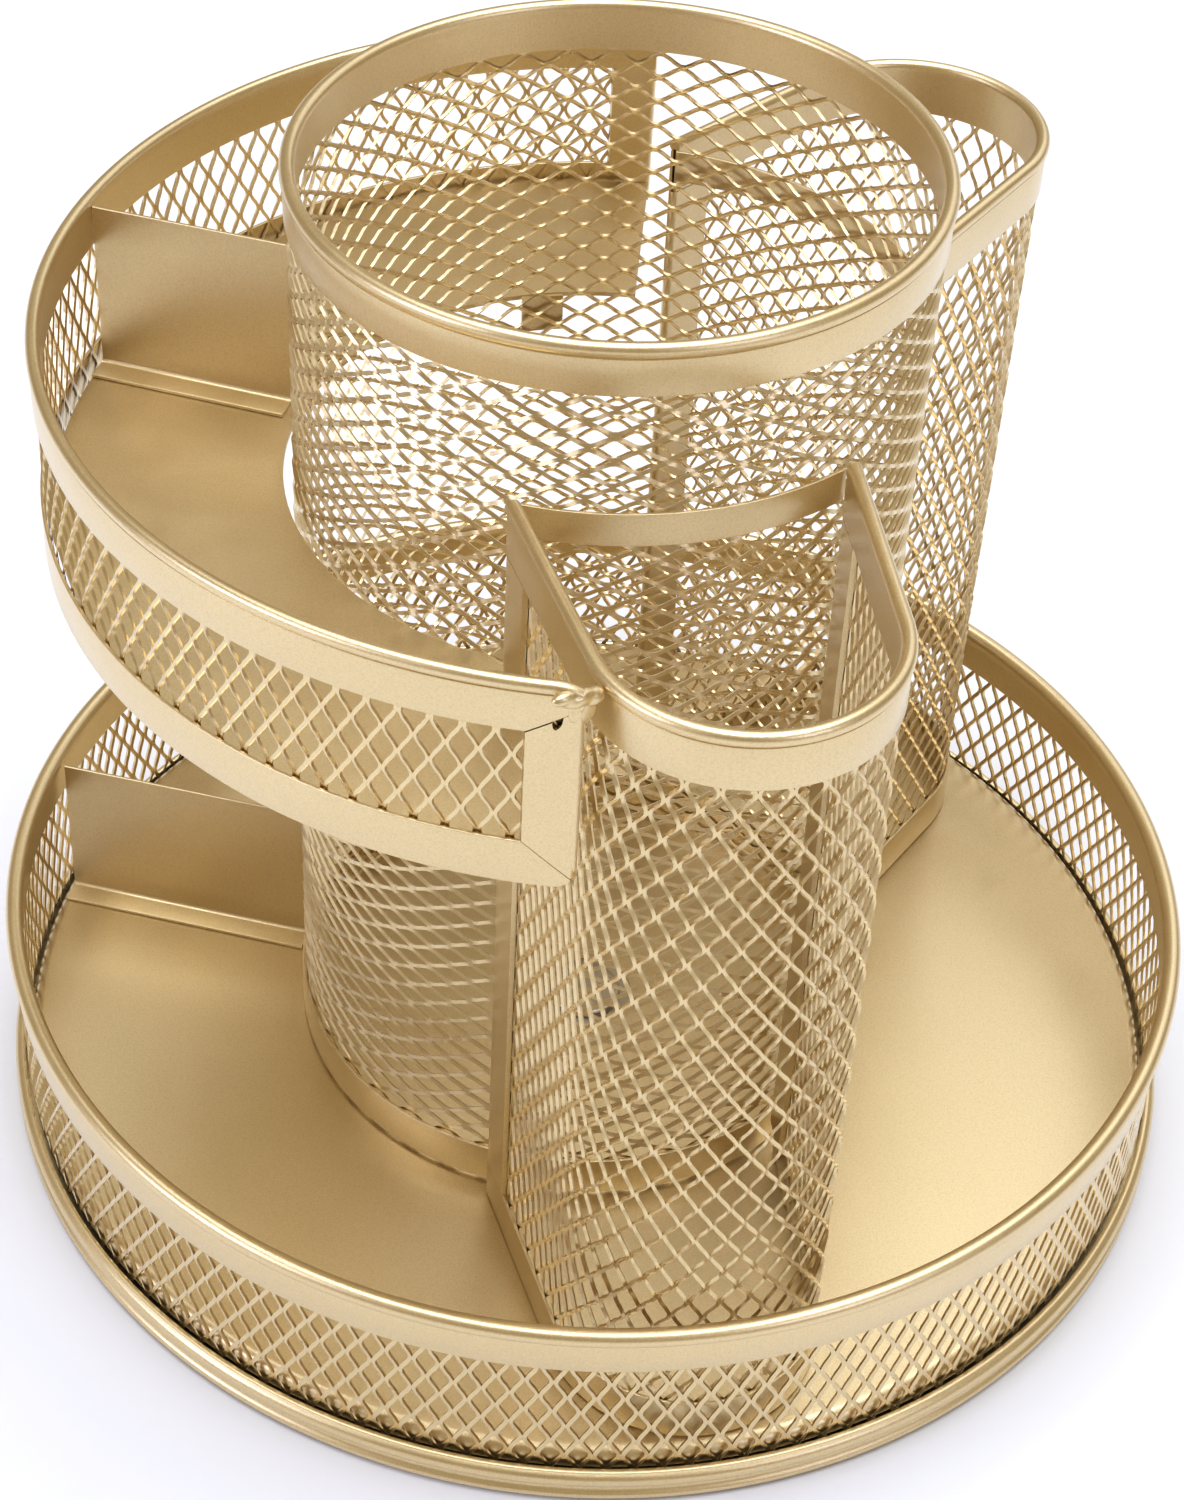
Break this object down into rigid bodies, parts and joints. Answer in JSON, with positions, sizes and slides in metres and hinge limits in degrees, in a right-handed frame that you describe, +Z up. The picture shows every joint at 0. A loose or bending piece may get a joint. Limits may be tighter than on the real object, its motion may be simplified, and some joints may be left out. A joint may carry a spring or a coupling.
{
  "type": "lazy susan organizer",
  "caption": "Turning desk organizer: round mesh tray on a ball-bearing base, with a tall pen cup, two U-shaped pen pockets and a half-round upper tray.",
  "frame": {"origin": "centre of the base on the desk, under the axis that the tray turns about", "axes": "+Z up along the turning axis, -Y towards the front, where the front pen pocket is, +X to the right"},
  "size_m": [0.2076, 0.2076, 0.183],
  "materials": {
    "gold_sheet": "satin metallic gold paint",
    "gold_mesh": "satin metallic gold paint on expanded metal",
    "zinc_steel": "zinc plated",
    "ball_steel": "polished",
    "white_nylon": "matt",
    "black_rubber": "matt"
  },
  "bodies": {
    "base": {"base_pan": "gold_sheet", "rubber_feet": "black_rubber", "pivot_pin": "zinc_steel", "lower_race": "zinc_steel", "lower_race_rivets": "zinc_steel"},
    "ball_ring": {"bearing_balls": "ball_steel", "ball_cage": "white_nylon"},
    "carousel": {"upper_race": "zinc_steel", "plate_rivets": "zinc_steel", "turntable_plate": "zinc_steel", "pivot_bush": "white_nylon", "tray_floor": "gold_sheet", "tray_mesh": "gold_mesh", "tray_rim": "gold_sheet", "tray_divider": "gold_sheet", "cup_mesh": "gold_mesh", "cup_rim": "gold_sheet", "cup_foot_band": "gold_sheet", "shelf_floor": "gold_sheet", "shelf_mesh": "gold_mesh", "shelf_rim": "gold_sheet", "shelf_foot_band": "gold_sheet", "shelf_front_bar": "gold_sheet", "shelf_rear_bar": "gold_sheet", "shelf_divider": "gold_sheet", "shelf_tab": "gold_sheet", "weld_beads": "gold_sheet", "front_pocket_rim": "gold_sheet", "front_pocket_mesh": "gold_mesh", "front_pocket_foot_band": "gold_sheet", "front_pocket_left_bar": "gold_sheet", "front_pocket_right_bar": "gold_sheet", "front_pocket_back_strip": "gold_sheet", "rear_pocket_rim": "gold_sheet", "rear_pocket_mesh": "gold_mesh", "rear_pocket_foot_band": "gold_sheet", "rear_pocket_left_bar": "gold_sheet", "rear_pocket_right_bar": "gold_sheet", "rear_pocket_back_strip": "gold_sheet"}
  },
  "joints": [
    {"name": "tray_spin", "type": "hinge", "parent": "base", "child": "carousel", "pos_m": [0, 0, 0.005], "axis": [0, 0, 1], "continuous": true},
    {"name": "ball_ring_spin", "type": "hinge", "parent": "base", "child": "ball_ring", "pos_m": [0, 0, 0.005], "axis": [0, 0, 1], "continuous": true}
  ],
  "couplings": [
    {"joint": "ball_ring_spin", "follows": "tray_spin", "ratio": 0.5}
  ]
}
